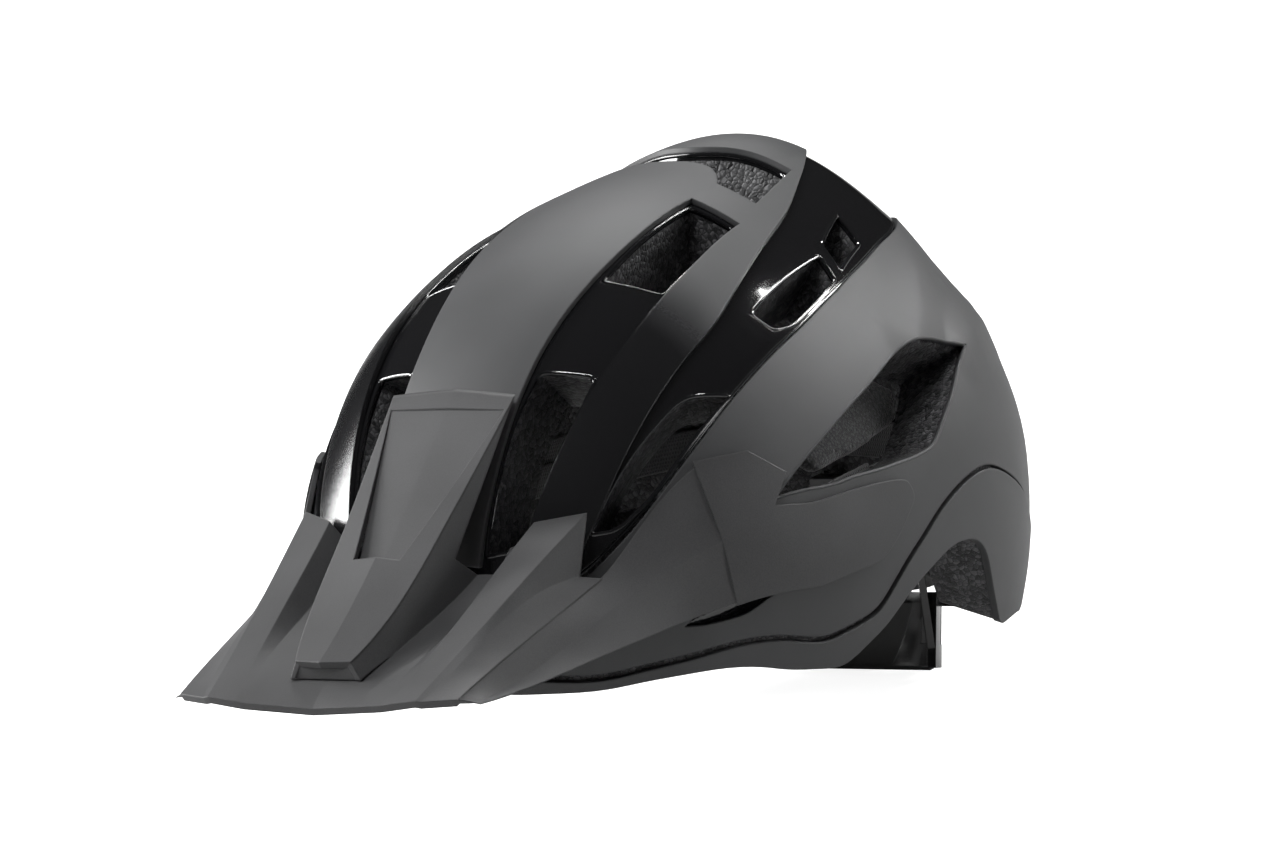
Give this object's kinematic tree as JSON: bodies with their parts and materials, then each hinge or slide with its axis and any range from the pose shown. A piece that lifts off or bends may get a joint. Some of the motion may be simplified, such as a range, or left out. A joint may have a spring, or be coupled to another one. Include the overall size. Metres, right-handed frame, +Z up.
{
  "type": "cycling helmet",
  "caption": "Mountain-bike helmet with a peaked tilting visor, large vents, matte and gloss black shells over a foam liner, and a dial-fit cradle.",
  "frame": {"origin": "bottom centre of the box round the whole helmet with its visor at rest; the helmet is level as worn", "axes": "+Z up, -Y forward (the visor points to -Y), +X to the wearer's left"},
  "size_m": [0.2164, 0.3654, 0.206],
  "materials": {
    "eps": "beaded foam, black",
    "gloss_shell": "gloss black moulded skin",
    "matte_shell": "matte charcoal moulded skin, fine grain",
    "visor_matte": "matte charcoal with fine grain",
    "nylon": "satin black nylon",
    "pad": "grey knit over soft foam",
    "webbing": "woven black webbing",
    "gloss_frame": "gloss black nylon",
    "grip": "ribbed rubber",
    "screw": "steel"
  },
  "bodies": {
    "helmet": {"eps_liner": "eps", "crown_shell": "gloss_shell", "top_shell": "matte_shell", "side_shell": "matte_shell", "rim_shell": "matte_shell", "visor_bushes": "nylon", "brow_pad": "pad", "crown_pads": "pad", "rear_pad": "pad", "side_pads": "pad", "strap_front_left": "webbing", "strap_front_right": "webbing", "strap_rear_left": "webbing", "strap_rear_right": "webbing", "strap_slider_left": "nylon", "strap_slider_right": "nylon", "strap_anchors": "nylon", "chin_strap_left": "webbing", "chin_strap_right": "webbing", "buckle_socket": "nylon", "temple_pivots": "nylon", "cradle_hanger": "nylon"},
    "visor": {"visor_peak": "visor_matte", "visor_insert": "visor_matte"},
    "cradle": {"nape_cradle": "gloss_frame", "dial_housing": "gloss_frame", "fit_band": "nylon"},
    "dial": {"dial_knob": "nylon", "dial_grip": "grip", "dial_pinion": "nylon", "dial_screw": "screw"},
    "rack_left": {"rack_left": "nylon"},
    "rack_right": {"rack_right": "nylon"},
    "buckle": {"buckle_tongue": "nylon"}
  },
  "joints": [
    {"name": "visor_tilt", "type": "hinge", "parent": "helmet", "child": "visor", "pos_m": [0, 0.0132, 0.0955], "axis": [-1, 0, 0], "range_deg": [0, 10]},
    {"name": "cradle_height", "type": "hinge", "parent": "helmet", "child": "cradle", "pos_m": [0, -0.0198, 0.0735], "axis": [1, 0, 0], "range_deg": [-5, 0]},
    {"name": "fit_dial", "type": "hinge", "parent": "cradle", "child": "dial", "pos_m": [0, 0.1432, 0.0145], "axis": [0, 1, 0], "range_deg": [0, 75]},
    {"name": "rack_left_slide", "type": "slide", "parent": "cradle", "child": "rack_left", "axis": [-1, 0, 0], "range_m": [0, 0.0063]},
    {"name": "rack_right_slide", "type": "slide", "parent": "cradle", "child": "rack_right", "axis": [1, 0, 0], "range_m": [0, 0.0063]},
    {"name": "buckle_release", "type": "slide", "parent": "helmet", "child": "buckle", "axis": [0, 1, 0], "range_m": [0, 0.024]}
  ],
  "couplings": [
    {"joint": "rack_left_slide", "follows": "fit_dial", "m_per_rad": 0.0048},
    {"joint": "rack_right_slide", "follows": "fit_dial", "m_per_rad": 0.0048}
  ]
}
